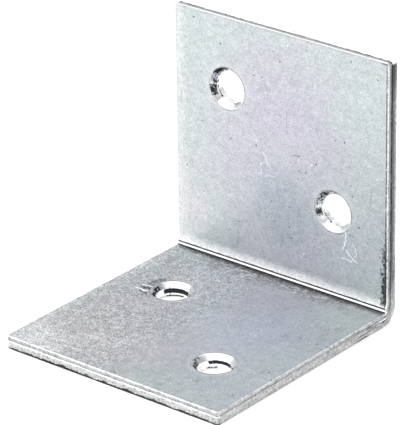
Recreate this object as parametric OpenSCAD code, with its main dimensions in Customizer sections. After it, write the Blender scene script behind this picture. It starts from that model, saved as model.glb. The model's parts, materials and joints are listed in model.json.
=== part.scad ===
// Corner brace: one strip of zinc-plated steel sheet, folded once to a right
// angle, with two countersunk screw holes set on a diagonal in each leg.
//
// +X runs along the fold. The base leg lies on Z = 0 and points to -Y, and the
// upright leg rises at the +Y end. The origin is the middle of the bottom of
// the bracket's box. All sizes are in millimetres.

/* [Strip] */
// Width of the strip, along the fold
strip_w = 38; // [26:1:80]
// Thickness of the sheet
sheet_t = 2; // [1.5:0.1:3]

/* [Legs] */
// Depth of the base leg, from the upright's outer face to the free edge
base_l = 40; // [30:1:100]
// Height of the upright leg, from the base's outer face to the free edge
upright_h = 40; // [30:1:100]

/* [Fold] */
// Radius on the inside of the fold
fold_r = 0.5; // [0.3:0.1:3]

/* [Screw holes] */
// Diameter of a screw hole
hole_d = 4.8; // [3:0.1:6]
// Diameter of a countersink where it meets the inner face
countersink_d = 6.2; // [6:0.1:8]
// Included angle of a countersink
countersink_angle = 90; // [82:1:100]
// From a hole's centre to the nearer side of the strip
hole_to_side = 9.5; // [5:0.5:14]
// From the heel to the centre of the hole beside the fold
hole_to_heel = 15; // [9:0.5:22]
// From a leg's free edge to the centre of the hole beside it
hole_to_end = 11; // [5:0.5:20]

/* [Edges] */
// Radius of the free corners, seen square to a leg
corner_r = 0.5; // [0.3:0.1:3]
// Width of the small bevel that breaks every sheared edge
edge_break = 0.2; // [0.1:0.05:0.3]

/* [Hidden] */
$fn = 96;

// Radius on the outside of the fold
heel_r = fold_r + sheet_t;
half_w = strip_w / 2;
hole_x = half_w - hole_to_side;
// Depth of a countersink, measured from the inner face
countersink_depth = (countersink_d - hole_d) / 2 / tan(countersink_angle / 2);
// How far a cutter runs past the face that it opens
overrun = 0.5;

// Cross-section of the strip: width along X, outer face on Y = 0
module strip_section() {
    polygon([
        [-half_w + edge_break, 0],
        [half_w - edge_break, 0],
        [half_w, edge_break],
        [half_w, sheet_t - edge_break],
        [half_w - edge_break, sheet_t],
        [-half_w + edge_break, sheet_t],
        [-half_w, sheet_t - edge_break],
        [-half_w, edge_break]
    ]);
}

// Side view of a flat leg: the fold at X = 0, the free end broken on both faces
module leg_side(flat_l) {
    polygon([
        [0, 0],
        [flat_l - edge_break, 0],
        [flat_l, edge_break],
        [flat_l, sheet_t - edge_break],
        [flat_l - edge_break, sheet_t],
        [0, sheet_t]
    ]);
}

// A flat leg seen square on: the fold at Y = 0, the two free corners rounded
module leg_outline(flat_l) {
    corner_x = half_w - corner_r;
    corner_y = flat_l - corner_r;
    translate([-half_w, 0]) square([strip_w, corner_y]);
    translate([-corner_x, 0]) square([2 * corner_x, flat_l]);
    for (side = [-1, 1])
        translate([side * corner_x, corner_y]) circle(r = corner_r);
}

// Leg without its holes, lying on its outer face, from the fold towards +Y
module leg_blank(flat_l) {
    intersection() {
        translate([0, flat_l, 0]) rotate([90, 0, 0]) linear_extrude(height = flat_l) strip_section();
        linear_extrude(height = sheet_t) leg_outline(flat_l);
        rotate([90, 0, 90]) linear_extrude(height = strip_w, center = true) leg_side(flat_l);
    }
}

// Cutter for a screw hole, countersunk from the inner face
module screw_hole() {
    slope = tan(countersink_angle / 2);
    translate([0, 0, -overrun]) cylinder(d = hole_d, h = sheet_t + 2 * overrun);
    translate([0, 0, sheet_t - countersink_depth])
        cylinder(
            d1 = hole_d,
            d2 = countersink_d + 2 * overrun * slope,
            h = countersink_depth + overrun
        );
}

// Leg of full length leg_l, measured from the heel, with its two holes
module leg(leg_l) {
    flat_l = leg_l - heel_r;
    difference() {
        leg_blank(flat_l);
        translate([hole_x, hole_to_heel - heel_r, 0]) screw_hole();
        translate([-hole_x, flat_l - hole_to_end, 0]) screw_hole();
    }
}

// The strip's section carried a quarter turn round the fold
module fold() {
    rotate([0, 90, 0])
        rotate_extrude(angle = 90)
            translate([heel_r, 0]) rotate(90) strip_section();
}

// The whole folded sheet
module bracket() {
    color([0.79, 0.81, 0.83])
        translate([0, base_l / 2, 0]) {
            translate([0, -heel_r, 0]) rotate([0, 0, 180]) leg(base_l);
            translate([0, -heel_r, heel_r]) fold();
            translate([0, 0, heel_r]) rotate([90, 0, 0]) leg(upright_h);
        }
}

bracket();
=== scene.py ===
import json
import math
import bpy
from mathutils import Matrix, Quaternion, Vector
from mathutils.geometry import delaunay_2d_cdt


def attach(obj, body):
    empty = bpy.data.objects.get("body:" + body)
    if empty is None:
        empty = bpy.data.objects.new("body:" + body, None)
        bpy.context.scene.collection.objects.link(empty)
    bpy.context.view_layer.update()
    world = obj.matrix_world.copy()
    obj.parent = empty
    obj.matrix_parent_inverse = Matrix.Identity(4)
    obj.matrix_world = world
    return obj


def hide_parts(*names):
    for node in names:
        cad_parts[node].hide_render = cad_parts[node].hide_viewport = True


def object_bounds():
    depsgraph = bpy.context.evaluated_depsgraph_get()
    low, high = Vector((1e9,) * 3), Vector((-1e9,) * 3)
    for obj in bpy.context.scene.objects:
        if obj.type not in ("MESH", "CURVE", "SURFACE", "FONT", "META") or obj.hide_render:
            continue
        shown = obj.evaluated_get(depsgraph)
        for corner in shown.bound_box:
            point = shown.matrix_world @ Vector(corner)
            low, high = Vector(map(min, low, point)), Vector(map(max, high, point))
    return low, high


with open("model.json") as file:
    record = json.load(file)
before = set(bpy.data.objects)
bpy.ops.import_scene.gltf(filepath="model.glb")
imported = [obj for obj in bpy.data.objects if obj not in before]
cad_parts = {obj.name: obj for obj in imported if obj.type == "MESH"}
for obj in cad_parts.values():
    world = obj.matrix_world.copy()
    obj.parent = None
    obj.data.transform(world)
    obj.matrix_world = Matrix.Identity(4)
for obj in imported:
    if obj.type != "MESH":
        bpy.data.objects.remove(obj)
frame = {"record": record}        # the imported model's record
cadLow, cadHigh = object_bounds()
print("frame loaded, box", [round(v, 4) for v in (*cadLow, *cadHigh)])

mm = 0.001
halfWidth = (cadHigh.x - cadLow.x) / 2
heelY = cadHigh.y        # outer face of the upright leg
baseLength = cadHigh.y - cadLow.y
uprightLength = cadHigh.z - cadLow.z


def connect(tree, socket, value):
    if isinstance(value, bpy.types.NodeSocket):
        tree.links.new(value, socket)
    elif isinstance(value, tuple) and socket.type == "RGBA":
        socket.default_value = (*value, 1.0)
    elif value is not None:
        socket.default_value = value


def addNode(tree, kind, inputs=None, **settings):
    node = tree.nodes.new(kind)
    for name, value in settings.items():
        setattr(node, name, value)
    for key, value in (inputs or {}).items():
        connect(tree, node.inputs[key], value)
    return node


def calc(tree, operation, first, second=None, clamp=False):
    values = {0: first, 1: second}
    return addNode(tree, "ShaderNodeMath", values, operation=operation, use_clamp=clamp).outputs[0]


def product(tree, *values):
    result = values[0]
    for value in values[1:]:
        result = calc(tree, "MULTIPLY", result, value)
    return result


def opposite(tree, mask):
    return calc(tree, "SUBTRACT", 1.0, mask)


# a mask from 0 to 1, turned into a value between two others
def between(tree, mask, atZero, atOne):
    return calc(tree, "ADD", calc(tree, "MULTIPLY", mask, atOne - atZero), atZero)


# a noise about 0.5, turned into one about 0 with the given swing
def swing(tree, value, amount):
    return calc(tree, "MULTIPLY", calc(tree, "SUBTRACT", value, 0.5), amount)


def strayed(tree, value, wobble, amount):
    return calc(tree, "ADD", value, swing(tree, wobble, amount))


def farFrom(tree, value, place):
    return calc(tree, "ABSOLUTE", calc(tree, "SUBTRACT", value, place))


def remap(tree, value, fromLow, fromHigh, toLow=0.0, toHigh=1.0):
    values = {"Value": value, "From Min": fromLow, "From Max": fromHigh, "To Min": toLow, "To Max": toHigh}
    return addNode(tree, "ShaderNodeMapRange", values, interpolation_type="SMOOTHSTEP").outputs["Result"]


def vectorCalc(tree, operation, first, second=None):
    node = addNode(tree, "ShaderNodeVectorMath", {0: first}, operation=operation)
    connect(tree, node.inputs[3 if operation == "SCALE" else 1], second)
    oneValue = operation in ("LENGTH", "DISTANCE", "DOT_PRODUCT")
    return node.outputs["Value" if oneValue else "Vector"]


def splitVector(tree, vector):
    return addNode(tree, "ShaderNodeSeparateXYZ", {"Vector": vector}).outputs


def joinVector(tree, **parts):
    return addNode(tree, "ShaderNodeCombineXYZ", parts).outputs[0]


def noise(tree, place, scale, detail=2.0, roughness=0.5, seed=0.0):
    values = {"Vector": place, "W": seed, "Scale": scale, "Detail": detail, "Roughness": roughness}
    return addNode(tree, "ShaderNodeTexNoise", values, noise_dimensions="4D").outputs["Fac"]


def stretched(tree, place, x, y, z):
    return addNode(tree, "ShaderNodeMapping", {"Vector": place, "Scale": (x, y, z)}).outputs[0]


def turned(tree, place, angle):
    values = {"Vector": place, "Angle": angle}
    return addNode(tree, "ShaderNodeVectorRotate", values, rotation_type="Z_AXIS").outputs[0]


def mixColor(tree, factor, first, second, blend="MIX"):
    node = addNode(tree, "ShaderNodeMix", data_type="RGBA", blend_type=blend)
    for index, value in ((0, factor), (6, first), (7, second)):
        connect(tree, node.inputs[index], value)
    return node.outputs[2]


def lighten(tree, color, value, amount):
    return mixColor(tree, 1.0, color, calc(tree, "ADD", swing(tree, value, amount), 1.0), "MULTIPLY")


# a node group whose inputs are given as a starting number or a kind of socket
def newGroup(name, kind, inputs, outputs):
    tree = bpy.data.node_groups.new(name, kind)
    for socketName, value in inputs.items():
        isNumber = isinstance(value, float)
        socketType = "NodeSocketFloat" if isNumber else "NodeSocket" + value
        socket = tree.interface.new_socket(name=socketName, in_out="INPUT", socket_type=socketType)
        if isNumber:
            socket.default_value = value
    for socketName, socketKind in outputs.items():
        tree.interface.new_socket(name=socketName, in_out="OUTPUT", socket_type="NodeSocket" + socketKind)
    return tree, tree.nodes.new("NodeGroupInput").outputs, tree.nodes.new("NodeGroupOutput").inputs


view = {
    "aim": (-0.01485, 0.0180, 0.00809),
    "azimuth": 39.45,        # degrees round the part from its front
    "elevation": 24.78,
    "roll": -0.86,
    "distance": 0.5262,
    "lens": 306.0,
}

studio = {
    "floorColor": (0.93, 0.93, 0.93),
    "floorSize": 6.0,
    "floorHeight": -0.02 * mm,            # the part's faces wander a little below 0
    "skyHigh": (0.72, 0.72, 0.72),        # straight up
    "skyMiddle": (0.86, 0.87, 0.88),      # what the base leg mirrors
    "skyLow": (1.05, 1.05, 1.05),         # at the floor line
    "glowWay": (-0.577, -0.701, 0.419),   # the bright side of the room, mirrored by the corner
    "glow": (1.30, 1.30, 1.28),
    "keyPlace": (-0.15, -0.10, 1.40),
    "keySize": 2.4,
    "keyPower": 27.3,
    "fillPlace": (0.95, -0.55, 0.55),
    "fillSize": 0.7,
    "fillPower": 1.5,
}


def makeCamera():
    azimuth, elevation = math.radians(view["azimuth"]), math.radians(view["elevation"])
    back = Vector((
        math.sin(azimuth) * math.cos(elevation),
        -math.cos(azimuth) * math.cos(elevation),
        math.sin(elevation),
    ))
    data = bpy.data.cameras.new("camera")
    data.lens = view["lens"]
    data.clip_start = 0.01
    camera = bpy.data.objects.new("camera", data)
    camera.location = Vector(view["aim"]) + back * view["distance"]
    turn = (-back).to_track_quat("-Z", "Y") @ Quaternion((0, 0, 1), math.radians(view["roll"]))
    camera.rotation_euler = turn.to_euler()
    bpy.context.scene.collection.objects.link(camera)
    bpy.context.scene.camera = camera


def makeSoftbox(name, place, size, power):
    data = bpy.data.lights.new(name, "AREA")
    data.shape = "SQUARE"
    data.size = size
    data.energy = power
    lamp = bpy.data.objects.new(name, data)
    lamp.location = place
    lamp.rotation_euler = (-Vector(place)).to_track_quat("-Z", "Y").to_euler()
    bpy.context.scene.collection.objects.link(lamp)


def makeSky():
    world = bpy.data.worlds.new("studio")
    world.use_nodes = True
    tree = world.node_tree
    direction = addNode(tree, "ShaderNodeTexCoord").outputs["Generated"]
    height = splitVector(tree, direction)["Z"]
    color = mixColor(tree, remap(tree, height, 0.05, 0.25), studio["skyLow"], studio["skyMiddle"])
    color = mixColor(tree, remap(tree, height, 0.55, 0.95), color, studio["skyHigh"])
    facing = vectorCalc(tree, "DOT_PRODUCT", direction, studio["glowWay"])
    color = mixColor(tree, remap(tree, facing, 0.55, 0.97), color, studio["glow"], "ADD")
    connect(tree, tree.nodes["Background"].inputs["Color"], color)
    bpy.context.scene.world = world


def makeFloor():
    reach, low = studio["floorSize"] / 2, studio["floorHeight"]
    corners = [(-reach, -reach, low), (reach, -reach, low), (reach, reach, low), (-reach, reach, low)]
    mesh = bpy.data.meshes.new("floor")
    mesh.from_pydata(corners, [], [(0, 1, 2, 3)])
    material = bpy.data.materials.new("floorPaper")
    material.use_nodes = True
    shader = material.node_tree.nodes["Principled BSDF"]
    shader.inputs["Base Color"].default_value = (*studio["floorColor"], 1)
    shader.inputs["Roughness"].default_value = 0.9
    shader.inputs["Specular IOR Level"].default_value = 0.1
    mesh.materials.append(material)
    floor = bpy.data.objects.new("floor", mesh)
    bpy.context.scene.collection.objects.link(floor)


makeCamera()
makeSky()
makeSoftbox("keyBox", studio["keyPlace"], studio["keySize"], studio["keyPower"])
makeSoftbox("fillBox", studio["fillPlace"], studio["fillSize"], studio["fillPower"])
makeFloor()
bpy.context.scene.view_settings.view_transform = "Standard"
print("camera and studio ready")


# The sheet is cut and punched flat, and folded later. On this blank X runs
# across the strip, Y along it with the fold at 0 and the upright leg on the +Y
# side, and Z from the outer face (0) to the inner face.
sheet = {
    "thickness": 2.0 * mm,
    "foldRadius": 0.5 * mm,        # inside
    "neutralDepth": 0.44,          # share of the thickness, from the inside, that keeps its length
    "cornerRadius": 0.5 * mm,
    "faceStep": 0.50 * mm,         # mesh spacing on the flat faces
    "rimStep": 0.30 * mm,          # along the sheared edges
    "foldStep": 0.09 * mm,         # along the strip, in the fold
    "foldZone": 1.6 * mm,          # how far past the fold the finer mesh goes
    "rowSpacing": 0.87,            # of the staggered grid, as a share of the face's spacing
    "rimGap": 0.25 * mm,           # free of grid points beside the rim
    "holeGap": 0.30 * mm,          # and round a hole
}

finishNames = ("Face", "Sheared Edge", "Countersink", "Bore")

# a sheared edge: rolled over at the inner face, smooth, then torn to the outer face
shearing = {
    "rollWidth": 0.13 * mm,
    "rollDepth": 0.15 * mm,
    "breakOnBase": 0.70,           # where it starts to tear, as a share of the thickness
    "breakOnUpright": 0.64,
    "stepDepth": 0.05 * mm,
    "tornDepth": 0.03 * mm,
    "footRound": 0.10 * mm,
    "rollRings": 5,
    "tornRings": 6,
}

holes = {
    "countersinkRadius": 3.1 * mm,
    "countersinkAngle": 90.0,
    "segments": 96,
    "uneven": 0.035 * mm,          # how far a countersink's rim strays from a circle
    "swell": 0.035 * mm,           # how proud the sheet stands round a countersink
    "swellReach": 1.1 * mm,
    "rimRound": 0.07 * mm,
    "backRound": 0.10 * mm,
}

heelRadius = sheet["foldRadius"] + sheet["thickness"]
neutralRadius = sheet["foldRadius"] + sheet["thickness"] * sheet["neutralDepth"]
foldLength = neutralRadius * math.pi / 2
baseEnd = -(foldLength / 2 + baseLength - heelRadius)
uprightEnd = foldLength / 2 + uprightLength - heelRadius


def smoothShare(value, low, high):
    share = min(1.0, max(0.0, (value - low) / (high - low)))
    return share * share * (3 - 2 * share)


# each screw hole of the record: its place on the blank and the radius of its bore
def holesOnBlank():
    found = {}
    for mount in frame["record"]["mounts"]:
        if mount["kind"] != "bore":
            continue
        x, y, z = mount["pos_m"]
        if abs(mount["axis"][2]) > 0.5:
            along = -(foldLength / 2 + (heelY - heelRadius) - y)
        else:
            along = foldLength / 2 + z - heelRadius
        found[mount["name"]] = (x, along, mount["dims"]["r_mm"] * mm)
    return found


def breakShare(along):
    blend = smoothShare(along, -2 * mm, 6 * mm)
    return shearing["breakOnBase"] * (1 - blend) + shearing["breakOnUpright"] * blend


# rings of a sheared edge: how far outside the outline, and how high
def shearedProfile(along):
    top = sheet["thickness"]
    tear = top * breakShare(along)
    step, torn, foot = shearing["stepDepth"], shearing["tornDepth"], shearing["footRound"]
    rings = []
    for i in range(shearing["rollRings"] + 1):
        angle = math.pi / 2 * i / shearing["rollRings"]
        out = -shearing["rollWidth"] * (1 - math.sin(angle))
        rings.append((out, top - shearing["rollDepth"] * (1 - math.cos(angle))))
    rings += [(0.0, (rings[-1][1] + tear + step) / 2), (0.0, tear + step)]
    rings += [(-step - torn, tear), (-torn, tear - step)]
    for i in range(1, shearing["tornRings"] + 1):
        rings.append((-torn, tear - step - (tear - step - foot) * i / shearing["tornRings"]))
    return rings + [(-torn - foot * 0.3, foot * 0.3), (-torn - foot, 0.0)]


# rings of a hole: radius and height, from the inner face to the outer face
def holeProfile(boreRadius):
    top = sheet["thickness"]
    slope = math.tan(math.radians(holes["countersinkAngle"] / 2))
    rim = holes["countersinkRadius"]
    land = top - (rim - boreRadius) / slope
    soft, back = holes["rimRound"], holes["backRound"]
    rings = [(rim + soft * 1.3, top), (rim + soft * 0.6, top - soft * 0.03)]
    rings += [(rim + soft * 0.15, top - soft * 0.16), (rim - soft * 0.25, top - soft * 0.42)]
    rings += [(rim - soft * 0.7, top - soft * 0.80)]
    for share in (0.35, 0.6, 0.8):
        radius = rim + (boreRadius - rim) * share
        rings.append((radius, land + (radius - boreRadius) / slope))
    rings += [(boreRadius + soft * 0.5, land + soft * 0.5), (boreRadius + soft * 0.15, land + soft * 0.1)]
    rings += [(boreRadius, land - soft * 0.3), (boreRadius, land * 0.75), (boreRadius, land * 0.5)]
    rings += [(boreRadius, land * 0.25), (boreRadius, back * 1.2)]
    return rings + [(boreRadius + back * 0.3, back * 0.3), (boreRadius + back, 0.0)]


coneRings = 9        # steps of the hole's profile that belong to the countersink


# places along the strip, closer together in and beside the fold
def runOfSteps(start, end):
    zone = foldLength / 2 + sheet["foldZone"]
    places = []
    for low, high, step in (
        (baseEnd, -zone, sheet["rimStep"]),
        (-zone, zone, sheet["foldStep"]),
        (zone, uprightEnd, sheet["rimStep"]),
    ):
        low, high = max(low, start), min(high, end)
        if high > low:
            count = max(1, round((high - low) / step))
            places += [low + (high - low) * i / count for i in range(count)]
    return places


# points and outward directions round the blank, anticlockwise from the base end
def blankOutline():
    radius = sheet["cornerRadius"]
    side = halfWidth - radius
    low, high = baseEnd + radius, uprightEnd - radius
    points = []
    across = round(2 * side / sheet["rimStep"])
    alongSteps = runOfSteps(low, high)
    corner = 6

    def addCorner(x, y, startAngle):
        for i in range(corner):
            angle = startAngle + math.pi / 2 * i / corner
            way = Vector((math.cos(angle), math.sin(angle)))
            points.append((Vector((x, y)) + way * radius, way))

    for i in range(across):
        points.append((Vector((-side + 2 * side * i / across, baseEnd)), Vector((0, -1))))
    addCorner(side, low, -math.pi / 2)
    for y in alongSteps:
        points.append((Vector((halfWidth, y)), Vector((1, 0))))
    addCorner(side, high, 0)
    for i in range(across):
        points.append((Vector((side - 2 * side * i / across, uprightEnd)), Vector((0, 1))))
    addCorner(-side, high, math.pi / 2)
    for y in [high] + alongSteps[:0:-1]:
        points.append((Vector((-halfWidth, y)), Vector((-1, 0))))
    addCorner(-side, low, math.pi)
    return points


def insideBlank(point, margin):
    return abs(point.x) <= halfWidth - margin and baseEnd + margin <= point.y <= uprightEnd - margin


# free points over one face, on a staggered grid that is finer in the fold
def facePoints(inset, punched):
    found = []
    zone = foldLength / 2 + sheet["foldZone"]
    row = 0
    y = baseEnd
    while y < uprightEnd:
        step = sheet["foldStep"] if abs(y) < zone else sheet["faceStep"] * sheet["rowSpacing"]
        x = -halfWidth + (sheet["faceStep"] / 2 if row % 2 else 0)
        while x < halfWidth:
            point = Vector((x, y))
            away = [(point - Vector((hx, hy))).length - radius for hx, hy, radius in punched]
            if min(away) > sheet["holeGap"] and insideBlank(point, inset + sheet["rimGap"]):
                found.append(point)
            x += sheet["faceStep"]
        y += step
        row += 1
    return found


def buildBlank():
    outline = blankOutline()
    punched = list(holesOnBlank().values())
    vertices = []
    faces = []
    finishes = []        # a name for each face

    def stitch(first, second, finish, flip=False):
        count = len(first)
        for i in range(count):
            j = (i + 1) % count
            quad = (first[i], first[j], second[j], second[i])
            faces.append(tuple(reversed(quad)) if flip else quad)
            finishes.append(finish)

    def addRing(points):
        start = len(vertices)
        vertices.extend(points)
        return list(range(start, len(vertices)))

    # triangles over one face; those with all corners on one hole's ring fill the hole and are left out
    def fillFace(edgeRing, holeRings, height, inset, collar, upward):
        loops = [edgeRing] + holeRings
        rim = [index for loop in loops for index in loop]
        free = facePoints(inset, [(x, y, boreRadius + collar) for x, y, boreRadius in punched])
        flat = [Vector(vertices[i][:2]) for i in rim] + free
        edges = []
        start = 0
        for loop in loops:
            edges += [(start + i, start + (i + 1) % len(loop)) for i in range(len(loop))]
            start += len(loop)
        lookup = rim + addRing([(p.x, p.y, height) for p in free])
        triangles, origins = delaunay_2d_cdt(flat, edges, [], 0, 1e-9)[2:4]
        names = [lookup[origin[0]] for origin in origins]
        openings = [set(ring) for ring in holeRings]
        for triangle in triangles:
            corners = [names[i] for i in triangle]
            if any(opening.issuperset(corners) for opening in openings):
                continue
            faces.append(tuple(corners) if upward else tuple(reversed(corners)))
            finishes.append("Face")

    profiles = [shearedProfile(p.y) for p, way in outline]
    edgeRings = []
    for i in range(len(profiles[0])):
        ring = []
        for (point, way), profile in zip(outline, profiles):
            out, height = profile[i]
            ring.append((*(point + way * out), height))
        edgeRings.append(addRing(ring))
    for upper, lower in zip(edgeRings, edgeRings[1:]):
        stitch(upper, lower, "Sheared Edge", flip=True)

    topRings = []
    backRings = []
    rim = holes["countersinkRadius"]
    for order, (x, y, boreRadius) in enumerate(punched):
        rings = []
        for radius, height in holeProfile(boreRadius):
            weight = smoothShare(radius, boreRadius, rim) if height > 0.5 * sheet["thickness"] else 0.0
            ring = []
            for i in range(holes["segments"]):
                angle = 2 * math.pi * i / holes["segments"]
                stray = math.sin(2 * angle + order) + 0.6 * math.sin(5 * angle + 2.3 * order)
                reach = radius + stray * weight * holes["uneven"] / 1.6
                ring.append((x + reach * math.cos(angle), y + reach * math.sin(angle), height))
            rings.append(addRing(ring))
        for step, (upper, lower) in enumerate(zip(rings, rings[1:])):
            stitch(upper, lower, "Countersink" if step < coneRings else "Bore")
        topRings.append(rings[0])
        backRings.append(rings[-1])

    collar = rim + holes["rimRound"] * 1.3 - punched[0][2]
    fillFace(edgeRings[0], topRings, sheet["thickness"], shearing["rollWidth"], collar, True)
    inset = shearing["tornDepth"] + shearing["footRound"]
    fillFace(edgeRings[-1], backRings, 0.0, inset, holes["backRound"], False)

    # the sheet stands a little proud round each countersink
    for i, (px, py, pz) in enumerate(vertices):
        for x, y, boreRadius in punched:
            away = math.hypot(px - x, py - y) - rim
            if away < holes["swellReach"]:
                lift = smoothShare(away, holes["swellReach"], 0.0) * holes["swell"]
                pz += lift * smoothShare(pz, 0.4 * sheet["thickness"], sheet["thickness"])
        vertices[i] = (px, py, pz)

    mesh = bpy.data.meshes.new("bracketSheet")
    mesh.from_pydata(vertices, [], faces)
    finish = mesh.attributes.new("finish", "INT", "FACE")
    finish.data.foreach_set("value", [finishNames.index(name) for name in finishes])
    mesh.update()
    print("blank: %d points, %d faces" % (len(vertices), len(faces)))
    return mesh


folding = {
    "angle": 90.0,
    "waviness": 0.035 * mm,        # how far the faces wander from flat
    "wavinessScale": 95.0,         # waves a metre
    "shearRoughness": 0.06 * mm,
    "foldBulge": 0.006,            # how much wider the strip swells inside the fold, as a share
    "lipHeight": 0.26 * mm,        # how far the upright's foot stands out above the crease
    "lipReach": 1.45 * mm,
    "grooveDepth": 0.05 * mm,      # the punch's second line, on the base's side
    "groovePlace": 0.78,           # how far below the lip, as a share of the fold's length
    "grooveWidth": 0.24 * mm,
    "neutral": 0.55,               # share of the thickness where the fold neither swells nor draws in
    "gritScale": 1700.0,           # of the torn edge, in bumps a metre
    "tornFrom": (0.60, 0.45),      # shares of the thickness between which the roughness sets in
    "seed": 7.0,
}


def namedAttribute(tree, name, kind):
    return addNode(tree, "GeometryNodeInputNamedAttribute", {"Name": name}, data_type=kind).outputs[0]


def hasFinish(tree, finish, name):
    values = {2: finish, 3: finishNames.index(name)}
    return addNode(tree, "FunctionNodeCompare", values, data_type="INT", operation="EQUAL").outputs[0]


def movePoints(tree, geometry, **change):
    return addNode(tree, "GeometryNodeSetPosition", {"Geometry": geometry, **change}).outputs[0]


# the faces wander, and the torn half of a sheared edge is rough
def roughPush(tree, size, kept, parts, depth, finish):
    onEdge = hasFinish(tree, finish, "Sheared Edge")
    wander = noise(tree, kept, size["Waviness Scale"], 1.0, 0.5, size["Seed"])
    values = {0: onEdge, 1: swing(tree, wander, size["Waviness"]), 2: 0.0}
    wander = addNode(tree, "GeometryNodeSwitch", values, input_type="FLOAT").outputs[0]
    dragged = joinVector(tree, X=parts["X"], Y=parts["Y"], Z=calc(tree, "MULTIPLY", parts["Z"], 0.5))
    torn = calc(tree, "SUBTRACT", noise(tree, dragged, folding["gritScale"], 3.0, 0.5, size["Seed"]), 0.62)
    torn = product(tree, torn, size["Shear Roughness"], remap(tree, depth, *folding["tornFrom"]), onEdge)
    outward = addNode(tree, "GeometryNodeInputNormal").outputs[0]
    return vectorCalc(tree, "SCALE", outward, calc(tree, "ADD", wander, torn))


# the punch squeezes a lip up on the upright's side of the crease and a groove on the base's
def creaseRelief(tree, size, parts, depth, halfFold):
    above = calc(tree, "SUBTRACT", parts["Y"], halfFold)
    fade = calc(tree, "DIVIDE", calc(tree, "MAXIMUM", above, 0.0), size["Lip Reach"])
    fade = calc(tree, "SUBTRACT", 1.0, fade, clamp=True)
    lip = product(tree, fade, fade, remap(tree, above, -0.30 * mm, -0.03 * mm), size["Lip Height"])
    beside = farFrom(tree, above, calc(tree, "MULTIPLY", size["Fold Length"], -folding["groovePlace"]))
    groove = product(tree, remap(tree, beside, folding["grooveWidth"], 0.0), size["Groove Depth"])
    return product(tree, calc(tree, "SUBTRACT", lip, groove), remap(tree, depth, 0.5, 1.0))


# where each point goes: round the fold by the angle reached so far, then straight on
def foldedPlace(tree, size, halfFold):
    now = splitVector(tree, addNode(tree, "GeometryNodeInputPosition").outputs[0])
    along = calc(tree, "ADD", now["Y"], halfFold)
    share = calc(tree, "DIVIDE", along, size["Fold Length"], clamp=True)
    angle = calc(tree, "MULTIPLY", share, size["Fold Angle"])
    left = calc(tree, "SUBTRACT", along, calc(tree, "MULTIPLY", share, size["Fold Length"]))
    radius = calc(tree, "SUBTRACT", size["Heel Radius"], now["Z"])
    sine, cosine = calc(tree, "SINE", angle), calc(tree, "COSINE", angle)
    y = calc(tree, "ADD", calc(tree, "MULTIPLY", radius, sine), calc(tree, "MULTIPLY", left, cosine))
    y = calc(tree, "ADD", y, calc(tree, "SUBTRACT", size["Heel Y"], size["Heel Radius"]))
    z = calc(tree, "SUBTRACT", calc(tree, "MULTIPLY", left, sine), calc(tree, "MULTIPLY", radius, cosine))
    z = calc(tree, "ADD", z, size["Heel Radius"])

    # the squeezed inside of the fold swells sideways, the stretched outside draws in
    bell = calc(tree, "SINE", calc(tree, "MULTIPLY", share, math.pi))
    squeeze = calc(tree, "SUBTRACT", calc(tree, "DIVIDE", now["Z"], size["Thickness"]), folding["neutral"])
    widen = product(tree, bell, squeeze, size["Fold Bulge"])
    x = calc(tree, "MULTIPLY", now["X"], calc(tree, "ADD", widen, 1.0))
    return joinVector(tree, X=x, Y=y, Z=z)


def foldTree():
    sizes = ("Fold Angle", "Fold Length", "Heel Radius", "Thickness", "Heel Y", "Waviness",
             "Waviness Scale", "Shear Roughness", "Fold Bulge", "Lip Height", "Lip Reach", "Groove Depth",
             "Seed")
    inputs = {"Blank": "Geometry", **dict.fromkeys(sizes, 0.0), **dict.fromkeys(finishNames, "Material")}
    tree, size, result = newGroup("foldSheet", "GeometryNodeTree", inputs, {"Part": "Geometry"})

    # the flat place of every point is kept for the finishes
    place = addNode(tree, "GeometryNodeInputPosition").outputs[0]
    part = addNode(tree, "GeometryNodeStoreNamedAttribute",
                   {"Geometry": size["Blank"], "Name": "blank", "Value": place},
                   data_type="FLOAT_VECTOR", domain="POINT").outputs[0]
    kept = namedAttribute(tree, "blank", "FLOAT_VECTOR")
    finish = namedAttribute(tree, "finish", "INT")
    parts = splitVector(tree, kept)
    depth = calc(tree, "DIVIDE", parts["Z"], size["Thickness"])
    halfFold = calc(tree, "MULTIPLY", size["Fold Length"], 0.5)

    part = movePoints(tree, part, Offset=roughPush(tree, size, kept, parts, depth, finish))
    relief = creaseRelief(tree, size, parts, depth, halfFold)
    part = movePoints(tree, part, Offset=joinVector(tree, Z=relief))
    part = movePoints(tree, part, Position=foldedPlace(tree, size, halfFold))
    part = addNode(tree, "GeometryNodeSetShadeSmooth", {"Geometry": part}).outputs[0]
    part = addNode(tree, "GeometryNodeRealizeInstances", {"Geometry": part}).outputs[0]
    for name in finishNames:
        values = {"Geometry": part, "Selection": hasFinish(tree, finish, name), "Material": size[name]}
        part = addNode(tree, "GeometryNodeSetMaterial", values).outputs[0]
    tree.links.new(part, result["Part"])
    return tree


def setInputs(modifier, values):
    sockets = {item.name: item.identifier for item in modifier.node_group.interface.items_tree}
    for name, value in values.items():
        modifier[sockets[name]] = value


# turns a piece's modifiers into a plain mesh
def settle(piece):
    bpy.context.view_layer.update()
    seen = bpy.context.evaluated_depsgraph_get()
    finished = piece.evaluated_get(seen)
    mesh = bpy.data.meshes.new_from_object(finished, preserve_all_data_layers=True, depsgraph=seen)
    piece.modifiers.clear()
    piece.data = mesh
    mesh.name = piece.name


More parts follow.
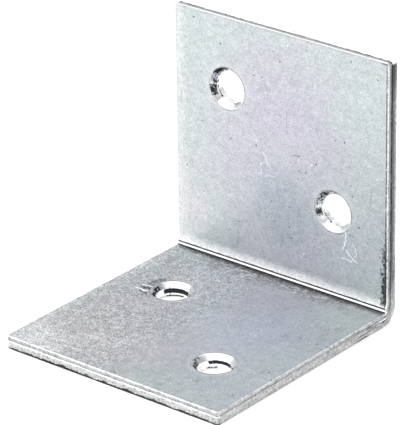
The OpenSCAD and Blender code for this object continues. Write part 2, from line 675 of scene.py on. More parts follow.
def foldBlank(mesh, materials):
    piece = bpy.data.objects.new("bracketSheet", mesh)
    bpy.context.scene.collection.objects.link(piece)
    modifier = piece.modifiers.new("fold", "NODES")
    modifier.node_group = foldTree()
    setInputs(modifier, {
        "Fold Angle": math.radians(folding["angle"]),
        "Fold Length": foldLength,
        "Heel Radius": heelRadius,
        "Thickness": sheet["thickness"],
        "Heel Y": heelY,
        "Waviness": folding["waviness"],
        "Waviness Scale": folding["wavinessScale"],
        "Shear Roughness": folding["shearRoughness"],
        "Fold Bulge": folding["foldBulge"],
        "Lip Height": folding["lipHeight"],
        "Lip Reach": folding["lipReach"],
        "Groove Depth": folding["grooveDepth"],
        "Seed": folding["seed"],
        **dict(zip(finishNames, materials)),
    })
    settle(piece)
    return piece


# Patterns follow the sheet through its flat place, which the fold stores as
# the attribute "blank": X across, Y along, Z through the thickness, in metres.
zinc = {
    "roughness": 0.40,
    "plain": (0.425, 0.444, 0.460),
    "lilac": (0.420, 0.412, 0.470),
    "green": (0.430, 0.468, 0.470),
    "blue": (0.350, 0.382, 0.424),
    "haze": (0.445, 0.462, 0.512),
    "warm": (0.482, 0.480, 0.497),
    "white": (0.640, 0.655, 0.660),
    # dark dirt, also used as painted shade in the crease lines
    "dirt": (0.014, 0.014, 0.016),
    # the base beside the fold: thinner plate darkened further with painted shade
    "underFold": (0.155, 0.165, 0.175),
    # the upright's foot above the crease, a painted reflection
    "foot": (0.60, 0.612, 0.616),
    "leftRim": (0.56, 0.575, 0.58),
    "scratch": (0.30, 0.31, 0.33),
    "speck": (0.97, 0.98, 0.98),
    "pit": (0.08, 0.08, 0.09),
    "burr": (0.10, 0.105, 0.11),
    "ring": (0.14, 0.145, 0.15),
    "shade": (0.20, 0.21, 0.22),
    "grainScale": 4600.0,        # grains a metre
    "grain": 1.40,               # how far a grain is lighter or darker than the rest
    "grainOnLeft": 2.9,          # times as much of it on the base's left half
    "grainHeight": 0.012 * mm,
    "speckScale": 700.0,
    "speckSize": 0.085,
    "pitScale": 640.0,
    "pitSize": 0.10,
    "stripReach": (-5.4 * mm, -1.8 * mm),        # the dark strip on the base, thinner plate and painted shade, fades in between these
    "footReflectionReach": (3.0 * mm, 2.1 * mm),           # and the painted reflection on the upright's foot between these
    "haloReach": (4.3 * mm, 3.4 * mm),           # pale ring round a countersink
    "ringReach": (3.42 * mm, 3.30 * mm),         # dark outline of a countersink
    # clouds in the passivation, and one painted highlight: across, along, radius, tint, strength
    "clouds": [
        (2.0, 27.0, 12.0, "lilac", 1.0), (-6.0, 18.0, 8.0, "lilac", 0.6), (0.0, 11.0, 9.0, "blue", 0.75),
        (13.5, 30.0, 8.0, "green", 0.9), (-14.0, 33.0, 9.0, "green", 1.0), (14.0, 16.0, 7.0, "green", 0.7),
        (-17.0, 8.0, 7.0, "warm", 0.8), (13.0, 6.0, 7.0, "green", 0.5),
        (-10.0, -30.0, 16.0, "warm", 1.0), (-9.0, -12.0, 8.0, "warm", 0.5), (8.0, -17.0, 12.0, "haze", 1.0),
        (15.0, -22.0, 8.0, "green", 0.5), (10.0, -30.0, 7.0, "blue", 0.3), (14.0, -7.0, 8.0, "green", 0.9),
        # painted highlight on the base's far left corner
        (-20.0, -38.5, 12.0, "white", 1.0),
    ],
    # burrs dragged out beside a hole: hole, way from its centre in degrees, half width in degrees,
    # nearest and furthest radius, how solid, tint
    "burrs": [
        ("base_hole_fold", 176.0, 34.0, 3.15, 4.4, 0.62, "burr"),
        ("base_hole_fold", 225.0, 30.0, 3.1, 3.9, 0.5, "dirt"),
    ],
    # stray fibres and scratches: across, along, turn in degrees, length, wander, width, strength
    # (below 0 it is a dark one)
    "strands": [
        (11.6, 9.9, 16.0, 3.6, 1.1, 0.09, 0.75), (12.9, 7.6, -34.0, 2.6, 1.5, 0.09, 0.8),
        (12.0, 6.9, 66.0, 2.2, 1.2, 0.08, 0.7), (13.3, 8.6, -8.0, 2.4, 1.4, 0.08, 0.6),
        (-3.4, 17.0, 30.0, 3.2, 1.8, 0.08, 0.4), (-2.4, 18.2, -24.0, 3.0, 1.5, 0.08, 0.4),
        (-1.8, 16.0, 70.0, 2.0, 1.2, 0.08, 0.35), (1.2, 25.5, -6.0, 4.5, 0.7, 0.06, -0.3),
        (3.0, 20.4, 70.0, 1.3, 0.8, 0.12, -0.55), (-13.0, -3.6, 80.0, 3.6, 0.8, 0.09, 0.5),
        (-7.0, -3.2, 40.0, 2.2, 1.2, 0.09, 0.5), (-4.0, -3.4, 60.0, 2.4, 1.6, 0.10, 0.6),
        (3.5, -3.8, 82.0, 3.0, 0.9, 0.09, 0.5), (-10.0, -36.0, 78.0, 5.0, 0.6, 0.10, 0.5),
        (-13.1, -14.3, 84.0, 2.6, 0.5, 0.17, 1.0), (-13.4, -15.7, 92.0, 2.8, 0.5, 0.17, 1.0),
        (-13.0, -15.0, 88.0, 2.3, 0.4, 0.15, -1.0), (-12.7, -16.4, 98.0, 1.8, 0.5, 0.13, -1.0),
        (-12.4, -13.6, 74.0, 1.8, 0.5, 0.13, -0.9),
    ],
    # dark lines of the crease, painted shade and dirt: place as a share of the fold's length, half width
    "creaseLines": [(0.42, 0.40), (-0.21, 0.34)],
    "creaseHighlight": 0.09,          # painted highlight between them, its place as a share of the fold's length
}

shear = {
    "rim": (0.76, 0.77, 0.775),
    "rimTop": (0.40, 0.41, 0.415),
    "burnish": (0.43, 0.435, 0.44),
    "torn": (0.47, 0.472, 0.476),
    "tornUpright": (0.12, 0.122, 0.126),
    "tornTop": (0.95, 0.955, 0.96),
    "line": (0.02, 0.02, 0.022),
    "ledge": (0.97, 0.98, 0.98),
    "chip": (0.12, 0.12, 0.13),
    "nick": (0.13, 0.135, 0.14),
    "gritScale": 3300.0,
    "grit": 2.4,
    "gritHeight": 0.03 * mm,
    "roughness": 0.36,
}

coined = {
    "color": (0.56, 0.575, 0.585),
    "bore": (0.93, 0.945, 0.95),
    "chip": (0.025, 0.025, 0.03),
    "roughness": 0.22,
    "grainHeight": 0.010 * mm,
    # dark chips in the countersinks: hole, way from its centre in degrees, half width in degrees,
    # nearest and furthest radius, how solid
    "chips": [
        ("upright_hole_end", 114.0, 30.0, 2.65, 3.25, 0.85),
        ("upright_hole_end", 197.0, 20.0, 2.45, 3.25, 0.74),
        ("upright_hole_end", 160.0, 34.0, 2.35, 2.85, 0.5),
        ("upright_hole_end", 250.0, 7.0, 2.6, 2.8, 0.8),
        ("upright_hole_fold", 197.0, 17.0, 2.5, 3.2, 0.95),
        ("upright_hole_fold", 118.0, 40.0, 2.4, 3.2, 0.5),
        ("upright_hole_fold", 251.0, 6.0, 2.75, 3.05, 1.0),
        ("upright_hole_fold", 160.0, 30.0, 2.4, 3.15, 0.45),
        ("base_hole_fold", 222.0, 34.0, 2.35, 2.85, 0.66),
        ("base_hole_fold", 186.0, 20.0, 2.3, 2.9, 0.6),
        ("base_hole_end", 216.0, 26.0, 2.35, 2.9, 0.6),
        ("base_hole_end", 186.0, 14.0, 2.5, 3.1, 0.55),
    ],
    # painted shade down the bores, laid out like the chips, where the two places are heights above the
    # outer face
    "boreShade": [
        ("base_hole_fold", 108.0, 54.0, 0.5, 1.3, 0.92),
        ("base_hole_fold", 120.0, 34.0, 0.0, 0.28, 0.9),
        ("base_hole_end", 100.0, 50.0, 0.7, 1.3, 0.90),
        ("base_hole_end", 140.0, 24.0, 0.1, 0.4, 0.6),
        ("upright_hole_end", 180.0, 60.0, 0.9, 1.3, 0.45),
        ("upright_hole_fold", 190.0, 60.0, 0.9, 1.3, 0.45),
    ],
}


# where a point of the sheet lies, and how far it is from the free edges
def placeGroup():
    inputs = {
        "Half Width": halfWidth,
        "Base End": baseEnd,
        "Upright End": uprightEnd,
        "Thickness": sheet["thickness"],
    }
    outputs = {"Blank": "Vector", "Across": "Float", "Along": "Float", "Depth": "Float", "To Edge": "Float"}
    tree, size, result = newGroup("sheetPlace", "ShaderNodeTree", inputs, outputs)
    blank = addNode(tree, "ShaderNodeAttribute", attribute_name="blank").outputs["Vector"]
    parts = splitVector(tree, blank)
    toSide = calc(tree, "SUBTRACT", size["Half Width"], calc(tree, "ABSOLUTE", parts["X"]))
    toBase = calc(tree, "SUBTRACT", parts["Y"], size["Base End"])
    toTop = calc(tree, "SUBTRACT", size["Upright End"], parts["Y"])
    connect(tree, result["Blank"], blank)
    connect(tree, result["Across"], parts["X"])
    connect(tree, result["Along"], parts["Y"])
    connect(tree, result["Depth"], calc(tree, "DIVIDE", parts["Z"], size["Thickness"]))
    connect(tree, result["To Edge"], calc(tree, "MINIMUM", toSide, calc(tree, "MINIMUM", toBase, toTop)))
    return tree


# crystalline grain of the plate, fine and coarse, each about 0.5
def grainGroup():
    inputs = {"Place": "Vector", "Scale": 2600.0, "Seed": 0.0}
    outputs = {"Fine": "Float", "Coarse": "Float"}
    tree, size, result = newGroup("zincGrain", "ShaderNodeTree", inputs, outputs)
    coarseScale = calc(tree, "MULTIPLY", size["Scale"], 0.25)
    connect(tree, result["Fine"], noise(tree, size["Place"], size["Scale"], 3.0, 0.75, size["Seed"]))
    connect(tree, result["Coarse"], noise(tree, size["Place"], coarseScale, 3.0, 0.6, size["Seed"]))
    return tree


# scattered spots, at most one in each cell
def fleckGroup():
    inputs = {"Place": "Vector", "Scale": 300.0, "Size": 0.06, "Share": 0.3, "Seed": 0.0}
    tree, size, result = newGroup("flecks", "ShaderNodeTree", inputs, {"Mask": "Float"})
    wobble = addNode(tree, "ShaderNodeTexNoise", {"Vector": size["Place"], "Scale": 3000.0}).outputs
    wobble = vectorCalc(tree, "SCALE", wobble["Color"], 0.22 * mm)
    place = vectorCalc(tree, "ADD", size["Place"], wobble)
    place = vectorCalc(tree, "ADD", place, size["Seed"])
    cells = addNode(tree, "ShaderNodeTexVoronoi", {"Vector": place, "Scale": size["Scale"]},
                    voronoi_dimensions="2D").outputs
    chance = addNode(tree, "ShaderNodeSeparateColor", {"Color": cells["Color"]}).outputs
    reach = calc(tree, "ADD", calc(tree, "POWER", chance["Green"], 2.0), 0.35)
    reach = calc(tree, "MULTIPLY", size["Size"], reach)
    spot = remap(tree, calc(tree, "DIVIDE", cells["Distance"], reach), 1.0, 0.5)
    picked = calc(tree, "LESS_THAN", chance["Red"], size["Share"])
    connect(tree, result["Mask"], product(tree, spot, picked))
    return tree


# thin broken scratches along one direction
def scuffGroup():
    inputs = {"Place": "Vector", "Turn": 0.0, "Across": 900.0, "Along": 60.0, "Keep": 0.70, "Seed": 0.0}
    tree, size, result = newGroup("scuffs", "ShaderNodeTree", inputs, {"Mask": "Float"})
    stretch = joinVector(tree, X=size["Across"], Y=size["Along"], Z=1.0)
    place = vectorCalc(tree, "MULTIPLY", turned(tree, size["Place"], size["Turn"]), stretch)
    lines = noise(tree, place, 1.0, 1.0, 0.4, size["Seed"])
    lines = remap(tree, lines, size["Keep"], calc(tree, "ADD", size["Keep"], 0.05))
    breaks = remap(tree, noise(tree, size["Place"], 420.0, 2.0, 0.5, size["Seed"]), 0.5, 0.62)
    connect(tree, result["Mask"], product(tree, lines, breaks))
    return tree


# a soft round cloud with a wandering border
def cloudGroup():
    inputs = {"Place": "Vector", "Centre": "Vector", "Radius": 0.01}
    tree, size, result = newGroup("cloud", "ShaderNodeTree", inputs, {"Mask": "Float"})
    away = vectorCalc(tree, "DISTANCE", size["Place"], size["Centre"])
    stray = swing(tree, noise(tree, size["Place"], 150.0, 3.0, 0.6), 1.6)
    away = calc(tree, "ADD", away, product(tree, stray, size["Radius"]))
    connect(tree, result["Mask"], remap(tree, calc(tree, "DIVIDE", away, size["Radius"]), 1.0, 0.15))
    return tree


# one thin wandering line of a given length
def strandGroup():
    inputs = {"Place": "Vector", "Centre": "Vector", "Turn": 0.0, "Length": 0.004, "Wander": 0.001,
              "Width": 0.00008}
    tree, size, result = newGroup("strand", "ShaderNodeTree", inputs, {"Mask": "Float"})
    local = vectorCalc(tree, "SUBTRACT", size["Place"], size["Centre"])
    parts = splitVector(tree, turned(tree, local, size["Turn"]))
    line = joinVector(tree, X=size["Turn"], Y=parts["Y"])
    path = product(tree, swing(tree, noise(tree, line, 650.0, 2.0, 0.55), 2.0), size["Wander"])
    away = calc(tree, "DIVIDE", farFrom(tree, parts["X"], path), size["Width"])
    reach = calc(tree, "DIVIDE", calc(tree, "ABSOLUTE", parts["Y"]), size["Length"])
    mask = product(tree, remap(tree, away, 1.0, 0.4), remap(tree, reach, 0.5, 0.44))
    connect(tree, result["Mask"], mask)
    return tree


# a ragged mark on one side of a hole, between two values of a measure
def chipGroup():
    inputs = {"Place": "Vector", "Centre": "Vector", "Way": "Vector", "Spread": 0.9, "Measure": 0.0,
              "Near": 0.0, "Far": 0.0, "Solid": 0.5}
    tree, size, result = newGroup("chip", "ShaderNodeTree", inputs, {"Mask": "Float"})
    flat = vectorCalc(tree, "MULTIPLY", size["Place"], (1.0, 1.0, 0.0))
    local = vectorCalc(tree, "SUBTRACT", flat, size["Centre"])
    toward = vectorCalc(tree, "DOT_PRODUCT", vectorCalc(tree, "NORMALIZE", local), size["Way"])
    toward = strayed(tree, toward, noise(tree, size["Place"], 2600.0, 3.0, 0.65, 4.0), 0.18)
    side = remap(tree, toward, size["Spread"], calc(tree, "ADD", size["Spread"], 0.04))
    measure = strayed(tree, size["Measure"], noise(tree, size["Place"], 1500.0, 2.0, 0.6), 0.25 * mm)
    pastNear = remap(tree, measure, size["Near"], calc(tree, "ADD", size["Near"], 0.07 * mm))
    beforeFar = remap(tree, measure, size["Far"], calc(tree, "SUBTRACT", size["Far"], 0.07 * mm))
    close = remap(tree, vectorCalc(tree, "LENGTH", local), 5.0 * mm, 4.5 * mm)
    level = between(tree, size["Solid"], 0.68, 0.26)
    grit = noise(tree, size["Place"], 2100.0, 3.0, 0.7, 9.0)
    grit = remap(tree, grit, level, calc(tree, "ADD", level, 0.05))
    connect(tree, result["Mask"], product(tree, side, pastNear, beforeFar, close, grit))
    return tree


groups = {
    "place": placeGroup(),
    "grain": grainGroup(),
    "flecks": fleckGroup(),
    "scuffs": scuffGroup(),
    "cloud": cloudGroup(),
    "strand": strandGroup(),
    "chip": chipGroup(),
}


def useGroup(tree, name, inputs=None):
    node = tree.nodes.new("ShaderNodeGroup")
    node.node_tree = groups[name]
    for key, value in (inputs or {}).items():
        connect(tree, node.inputs[key], value)
    return node.outputs


def startMetal(name, roughness):
    material = bpy.data.materials.new(name)
    material.use_nodes = True
    tree = material.node_tree
    shader = tree.nodes["Principled BSDF"]
    shader.inputs["Metallic"].default_value = 1.0
    shader.inputs["Roughness"].default_value = roughness
    return material, tree, shader


def addBump(tree, shader, height, distance):
    bump = addNode(tree, "ShaderNodeBump", {"Height": height, "Distance": distance})
    tree.links.new(bump.outputs[0], shader.inputs["Normal"])


# one chip of a list: its distance is measured from the hole's axis, unless a measure is given
def chipMask(tree, blank, hole, degrees, spread, near, far, solid, measure=None):
    x, y, radius = holesOnBlank()[hole]
    angle = math.radians(degrees)
    if measure is None:
        flat = vectorCalc(tree, "MULTIPLY", blank, (1.0, 1.0, 0.0))
        measure = vectorCalc(tree, "DISTANCE", flat, (x, y, 0.0))
    return useGroup(tree, "chip", {
        "Place": blank,
        "Centre": (x, y, 0.0),
        "Way": (math.cos(angle), math.sin(angle), 0.0),
        "Spread": math.cos(math.radians(spread)),
        "Measure": measure,
        "Near": near * mm,
        "Far": far * mm,
        "Solid": solid,
    })["Mask"]


# what the layers of the face share: the point's place, its leg and side, and two slow noises
def facePlace(tree):
    place = useGroup(tree, "place")
    blank = place["Blank"]
    onUpright = remap(tree, place["Along"], -0.5 * mm, 0.5 * mm)
    return {
        "blank": blank,
        "along": place["Along"],
        "across": place["Across"],
        "toEdge": place["To Edge"],
        "inner": remap(tree, place["Depth"], 0.4, 0.6),
        "onUpright": onUpright,
        "onBase": opposite(tree, onUpright),
        "ragged": noise(tree, blank, 300.0, 3.0, 0.6, 5.0),
        "smear": noise(tree, stretched(tree, blank, 0.25, 1.0, 1.0), 1300.0, 3.0, 0.6, 5.0),
    }


# a pale film with clouds of lilac, green, blue and warm grey, and a white painted highlight on the base's
# far left corner
def passivation(tree, at):
    drift = remap(tree, noise(tree, at["blank"], 70.0, 3.0, 0.55, 3.0), 0.35, 0.65)
    color = mixColor(tree, drift, zinc["plain"], zinc["green"])
    middle = remap(tree, at["toEdge"], 3.0 * mm, 12.0 * mm)
    color = mixColor(tree, product(tree, middle, 0.5), color, zinc["lilac"])
    for x, y, radius, tint, strength in zinc["clouds"]:
        centre = (x * mm, y * mm, sheet["thickness"])
        cloud = {"Place": at["blank"], "Centre": centre, "Radius": radius * mm}
        cloud = useGroup(tree, "cloud", cloud)["Mask"]
        color = mixColor(tree, product(tree, cloud, strength), color, zinc[tint])
    return color


# the dark strip on the base beside the fold, thinner plate and painted shade, the painted reflection on the
# upright's foot and its left rim
def besideFold(tree, at, color):
    blank, along, across, inner = at["blank"], at["along"], at["across"], at["inner"]
    fold = strayed(tree, along, at["ragged"], 3.4 * mm)
    fold = strayed(tree, fold, at["smear"], 2.4 * mm)
    middle = remap(tree, farFrom(tree, across, 1.0 * mm), 19.0 * mm, 7.0 * mm)
    # painted shade on the base beside the fold, over plate that is thinner there
    dark = product(tree, remap(tree, fold, *zinc["stripReach"]), at["onBase"], inner)
    dark = product(tree, dark, between(tree, middle, 0.24, 0.78))
    color = mixColor(tree, dark, color, zinc["underFold"])
    color = lighten(tree, color, noise(tree, blank, 2300.0, 3.0, 0.7, 7.0), product(tree, dark, 3.0))
    worms = remap(tree, noise(tree, blank, 1700.0, 4.0, 0.75, 11.0), 0.53, 0.57)
    color = mixColor(tree, product(tree, worms, dark, 0.8), color, zinc["white"])
    # painted reflection: the upright's foot above the crease made brighter
    foot = remap(tree, strayed(tree, along, at["ragged"], 0.7 * mm), *zinc["footReflectionReach"])
    color = mixColor(tree, product(tree, foot, at["onUpright"], inner, 0.8), color, zinc["foot"])
    leftRim = remap(tree, strayed(tree, across, at["ragged"], 1.5 * mm), -16.5 * mm, -18.6 * mm)
    return mixColor(tree, product(tree, leftRim, inner, 0.7), color, zinc["leftRim"])


# grain, strongest on the base's left half, and the mill's faint lines
def plateGrain(tree, at, color, grain):
    left = remap(tree, strayed(tree, at["across"], at["ragged"], 8.0 * mm), 3.0 * mm, -5.0 * mm)
    left = product(tree, left, at["onBase"])
    fine = between(tree, left, zinc["grain"], zinc["grain"] * zinc["grainOnLeft"])
    color = lighten(tree, color, grain["Fine"], fine)
    color = lighten(tree, color, grain["Coarse"], between(tree, left, 0.6, 1.2))
    rolled = noise(tree, stretched(tree, at["blank"], 0.12, 1.0, 1.0), 1500.0, 2.0, 0.5, 2.0)
    return lighten(tree, color, rolled, 0.16)


def specksAndPits(tree, at, color, scratch):
    blank = at["blank"]
    color = mixColor(tree, product(tree, scratch, 0.5), color, zinc["scratch"])
    share = remap(tree, at["ragged"], 0.42, 0.68, 0.03, 0.30)
    share = product(tree, share, between(tree, at["onBase"], 0.4, 1.6))
    specks = {"Place": blank, "Scale": zinc["speckScale"], "Size": zinc["speckSize"], "Share": share}
    specks = useGroup(tree, "flecks", {**specks, "Seed": 2.0})["Mask"]
    color = mixColor(tree, product(tree, specks, 0.8), color, zinc["speck"])
    share = remap(tree, noise(tree, blank, 130.0, 2.0, 0.5, 15.0), 0.40, 0.66, 0.03, 0.42)
    pits = {"Place": blank, "Scale": zinc["pitScale"], "Size": zinc["pitSize"], "Share": share}
    pits = useGroup(tree, "flecks", pits)["Mask"]
    return mixColor(tree, product(tree, pits, 0.85), color, zinc["pit"]), pits


# round each countersink: burrs, a broken dark outline, and a pale ring where the sheet was pressed
def roundHoles(tree, at, color):
    for *mark, tint in zinc["burrs"]:
        burr = chipMask(tree, at["blank"], *mark)
        color = mixColor(tree, product(tree, burr, at["inner"], 0.9), color, zinc[tint])
    for x, y, radius in holesOnBlank().values():
        away = vectorCalc(tree, "DISTANCE", at["blank"], (x, y, sheet["thickness"]))
        halo = product(tree, remap(tree, away, *zinc["haloReach"]), at["inner"], 0.22)
        color = mixColor(tree, halo, color, zinc["white"])
        away = strayed(tree, away, at["ragged"], 0.30 * mm)
        broken = remap(tree, at["smear"], 0.36, 0.56)
        ring = product(tree, remap(tree, away, *zinc["ringReach"]), at["inner"], broken, 0.6)
        color = mixColor(tree, ring, color, zinc["ring"])
    return color


def fibres(tree, at, color):
    for x, y, turn, length, wander, width, strength in zinc["strands"]:
        strand = useGroup(tree, "strand", {
            "Place": at["blank"],
            "Centre": (x * mm, y * mm, 0.0),
            "Turn": math.radians(turn),
            "Length": length * mm,
            "Wander": wander * mm,
            "Width": width * mm,
        })["Mask"]
        tint = (1.0, 1.0, 1.0) if strength > 0 else zinc["dirt"]
        color = mixColor(tree, product(tree, strand, at["inner"], abs(strength)), color, tint)
    return color


# beside the sheared edges: a thin broken dark seam, and black tears low on the upright's right
def seamAndTears(tree, at, color):
    blank, along, toEdge = at["blank"], at["along"], at["toEdge"]
    dots = noise(tree, blank, 2200.0, 2.0, 0.6, 2.0)
    place = strayed(tree, toEdge, dots, 0.16 * mm)
    seam = product(tree, remap(tree, place, 0.46 * mm, 0.38 * mm), remap(tree, place, 0.22 * mm, 0.27 * mm))
    rightSide = remap(tree, at["across"], 17.0 * mm, 18.0 * mm)
    strength = between(tree, product(tree, rightSide, at["onUpright"]), 0.10, 0.85)
    seam = product(tree, seam, strength, remap(tree, dots, 0.34, 0.50))
    color = mixColor(tree, seam, color, zinc["dirt"])
    low = product(tree, remap(tree, along, 1.2 * mm, 2.0 * mm), remap(tree, along, 16.0 * mm, 8.0 * mm))
    low = product(tree, low, rightSide)
    tears = strayed(tree, toEdge, noise(tree, blank, 1500.0, 4.0, 0.8, 6.0), 5.5 * mm)
    reach = remap(tree, along, 16.0 * mm, 2.0 * mm, 0.25 * mm, 1.0 * mm)
    tears = remap(tree, calc(tree, "SUBTRACT", tears, reach), 0.08 * mm, -0.08 * mm)
    color = mixColor(tree, product(tree, tears, low, at["inner"]), color, zinc["dirt"])
    shade = product(tree, remap(tree, toEdge, 1.5 * mm, 0.3 * mm), low, 0.25)
    return mixColor(tree, shade, color, zinc["shade"])


# the punch's two lines in the crease, darkened with painted shade and dirt, with a painted highlight
# between, and fine cracks outside
def creaseAndHeel(tree, at, color):
    jitter = noise(tree, at["blank"], 900.0, 3.0, 0.6, 8.0)
    for place, halfLine in zinc["creaseLines"]:
        # the punch's lines, darkened with painted shade and dirt
        away = farFrom(tree, strayed(tree, at["along"], jitter, 0.20 * mm), foldLength * place)
        line = remap(tree, away, halfLine * mm, halfLine * 0.7 * mm)
        color = mixColor(tree, product(tree, line, at["inner"], 0.95), color, zinc["dirt"])
    # painted highlight of the inner fold between the two lines
    beadHighlight = remap(tree, farFrom(tree, at["along"], foldLength * zinc["creaseHighlight"]), 0.42 * mm, 0.25 * mm)
    color = mixColor(tree, product(tree, beadHighlight, at["inner"], 0.85), color, zinc["white"])
    heel = remap(tree, calc(tree, "ABSOLUTE", at["along"]), 1.5 * mm, 0.8 * mm)
    heel = product(tree, heel, opposite(tree, at["inner"]), 0.9)
    cracks = noise(tree, stretched(tree, at["blank"], 0.2, 1.0, 1.0), 4200.0, 3.0, 0.6, 3.0)
    return lighten(tree, color, cracks, heel)


def zincFace():
    material, tree, shader = startMetal("zincFace", zinc["roughness"])
    at = facePlace(tree)
    grain = useGroup(tree, "grain", {"Place": at["blank"], "Scale": zinc["grainScale"], "Seed": 1.0})
    scratch = {"Place": at["blank"], "Turn": 0.12, "Seed": 4.0, "Keep": 0.66}
    scratch = useGroup(tree, "scuffs", scratch)["Mask"]
    color = passivation(tree, at)
    color = besideFold(tree, at, color)
    color = plateGrain(tree, at, color, grain)
    color, pits = specksAndPits(tree, at, color, scratch)
    color = roundHoles(tree, at, color)
    color = fibres(tree, at, color)
    color = seamAndTears(tree, at, color)
    color = creaseAndHeel(tree, at, color)
    connect(tree, shader.inputs["Base Color"], color)
    connect(tree, shader.inputs["Roughness"], strayed(tree, zinc["roughness"], grain["Coarse"], 0.22))
    marks = calc(tree, "MULTIPLY", calc(tree, "ADD", pits, scratch), 1.5)
    height = calc(tree, "SUBTRACT", calc(tree, "ADD", grain["Fine"], grain["Coarse"]), marks)
    addBump(tree, shader, height, zinc["grainHeight"])
    return material


# what the layers of the sheared edge share
def edgePlace(tree):
    place = useGroup(tree, "place")
    blank, along, depth = place["Blank"], place["Along"], place["Depth"]
    grit = useGroup(tree, "grain", {"Place": blank, "Scale": shear["gritScale"], "Seed": 1.0})
    upright = remap(tree, along, -2.0 * mm, 6.0 * mm)
    onTop = remap(tree, along, uprightEnd - 0.7 * mm, uprightEnd - 0.3 * mm)

    # above this border the shear burnished the edge, below it the sheet tore
    tear = between(tree, upright, shearing["breakOnBase"], shearing["breakOnUpright"])
    border = calc(tree, "SUBTRACT", depth, tear)
    border = strayed(tree, border, noise(tree, blank, 260.0, 3.0, 0.6, 6.0), 0.22)
    border = strayed(tree, border, grit["Fine"], 0.34)
    return {
        "blank": blank,
        "along": along,
        "depth": depth,
        "border": border,
        "torn": remap(tree, border, 0.03, -0.03),
        "fine": grit["Fine"],
        "coarse": grit["Coarse"],
        "layers": noise(tree, stretched(tree, blank, 0.07, 0.07, 1.0), 4200.0, 3.0, 0.6, 6.0),
        "bitten": noise(tree, blank, 1700.0, 4.0, 0.75, 13.0),
        "upright": upright,
        "onTop": onTop,
        "belowTop": opposite(tree, onTop),
        "onFront": remap(tree, along, baseEnd + 0.7 * mm, baseEnd + 0.3 * mm),
    }


# the two halves of the edge, with grit, and the sheet's layers drawn out beside the fold
def tornAndBurnished(tree, at):
    color = mixColor(tree, at["upright"], shear["torn"], shear["tornUpright"])
    pale = product(tree, at["upright"], remap(tree, at["depth"], 0.42, 0.05), 0.8)
    color = mixColor(tree, pale, color, shear["torn"])
    color = mixColor(tree, at["onTop"], color, shear["tornTop"])
    dull = product(tree, at["upright"], at["belowTop"], 0.6)
    burnish = mixColor(tree, dull, shear["burnish"], shear["tornUpright"])
    color = mixColor(tree, opposite(tree, at["torn"]), color, burnish)
    rough = product(tree, calc(tree, "ADD", at["torn"], 0.25), shear["grit"])
    color = lighten(tree, color, at["fine"], rough)
    nearFold = remap(tree, calc(tree, "ABSOLUTE", at["along"]), 14.0 * mm, 3.0 * mm)
    color = lighten(tree, color, at["layers"], between(tree, nearFold, 0.7, 3.5))
    streaks = product(tree, remap(tree, at["layers"], 0.47, 0.38), nearFold, 0.75)
    streaks = product(tree, streaks, remap(tree, at["depth"], 0.98, 0.9))
    return mixColor(tree, streaks, color, shear["line"])


# dark line where the tear starts, another under the front, chips between them and a bright ledge
def tearLines(tree, at, color):
    blank, upright = at["blank"], at["upright"]
    breaks = remap(tree, noise(tree, blank, 700.0, 3.0, 0.6, 2.0), 0.38, 0.52)
    width = between(tree, product(tree, upright, at["belowTop"]), 0.06, 0.13)
    width = calc(tree, "ADD", width, product(tree, at["onTop"], 0.025))
    line = remap(tree, calc(tree, "ABSOLUTE", at["border"]), width, product(tree, width, 0.7))
    line = product(tree, line, between(tree, breaks, 0.55, 1.0), between(tree, upright, 0.38, 1.0))
    color = mixColor(tree, line, color, shear["line"])
    low = strayed(tree, at["depth"], noise(tree, blank, 520.0, 4.0, 0.7, 3.0), 0.8)
    foot = product(tree, remap(tree, low, 0.20, 0.15), at["onFront"], 0.95)
    color = mixColor(tree, foot, color, shear["line"])

    parts = splitVector(tree, blank)
    flat = joinVector(tree, X=calc(tree, "ADD", parts["X"], parts["Y"]), Y=parts["Z"])
    chips = {"Place": flat, "Scale": 1300.0, "Size": 0.2, "Share": 0.3, "Seed": 5.0}
    chips = useGroup(tree, "flecks", chips)["Mask"]
    color = mixColor(tree, product(tree, chips, at["torn"], 0.6), color, shear["chip"])
    ledge = remap(tree, farFrom(tree, at["border"], -0.10), 0.07, 0.03)
    ledge = product(tree, ledge, at["onFront"], between(tree, breaks, 0.35, 1.0))
    return mixColor(tree, ledge, color, shear["ledge"])
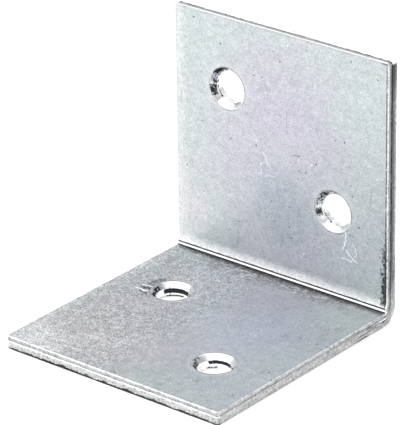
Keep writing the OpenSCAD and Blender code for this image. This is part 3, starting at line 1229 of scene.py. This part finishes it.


# the bright roll-over beside the inner face, nicks below it, and painted shade on the torn part of the
# upright's sides near its top
def rimAndNicks(tree, at, color):
    rolled = strayed(tree, at["depth"], at["coarse"], 0.05)
    rolled = strayed(tree, rolled, at["bitten"], product(tree, at["upright"], 0.55))
    rolled = remap(tree, rolled, 0.93, 0.955)
    rim = mixColor(tree, product(tree, at["onTop"], 0.8), shear["rim"], shear["rimTop"])
    color = mixColor(tree, product(tree, rolled, 0.92), color, rim)
    nicks = product(tree, remap(tree, at["bitten"], 0.51, 0.56), remap(tree, at["border"], 0.0, 0.06))
    color = mixColor(tree, product(tree, nicks, at["belowTop"], 0.55), color, shear["nick"])
    # painted shade on the torn part of the upright's sides near its top
    headShade = remap(tree, at["along"], uprightEnd - 7.0 * mm, uprightEnd - 1.2 * mm)
    headShade = product(tree, headShade, at["torn"], at["belowTop"], 0.6)
    return mixColor(tree, headShade, color, shear["line"])


def shearedEdge():
    material, tree, shader = startMetal("shearedEdge", shear["roughness"])
    at = edgePlace(tree)
    color = tornAndBurnished(tree, at)
    color = tearLines(tree, at, color)
    color = rimAndNicks(tree, at, color)
    connect(tree, shader.inputs["Base Color"], color)
    rough = between(tree, at["torn"], shear["roughness"], shear["roughness"] + 0.18)
    connect(tree, shader.inputs["Roughness"], rough)
    addBump(tree, shader, calc(tree, "ADD", at["fine"], at["layers"]), shear["gritHeight"])
    return material


# a countersink, or the bore below it, where the marks, painted shade in the bore, are measured down the
# wall
def coinedMetal(name, tint, marks, isBore):
    material, tree, shader = startMetal(name, coined["roughness"])
    blank = useGroup(tree, "place")["Blank"]
    grain = useGroup(tree, "grain", {"Place": blank, "Scale": 2200.0, "Seed": 3.0})
    color = lighten(tree, tint, grain["Coarse"], 1.1)
    if isBore:
        color = lighten(tree, color, noise(tree, blank, 1500.0, 3.0, 0.7, 2.0), 1.6)
    pits = {"Place": blank, "Scale": 800.0, "Size": 0.14, "Share": 0.07, "Seed": 7.0}
    pits = useGroup(tree, "flecks", pits)["Mask"]
    color = mixColor(tree, product(tree, pits, 0.8), color, coined["chip"])
    measure = splitVector(tree, blank)["Z"] if isBore else None
    # in a bore these dark marks are painted shade
    for mark in marks:
        color = mixColor(tree, chipMask(tree, blank, *mark, measure), color, coined["chip"])
    connect(tree, shader.inputs["Base Color"], color)
    connect(tree, shader.inputs["Roughness"], strayed(tree, coined["roughness"], grain["Fine"], 0.2))
    addBump(tree, shader, grain["Coarse"], coined["grainHeight"])
    return material


finishList = [
    zincFace(),
    shearedEdge(),
    coinedMetal("coinedRim", coined["color"], coined["chips"], False),
    coinedMetal("punchedBore", coined["bore"], coined["boreShade"], True),
]
print("finishes made")

bracketSheet = foldBlank(buildBlank(), finishList)
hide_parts("bracket")
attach(bracketSheet, "root")
print("sheet folded")
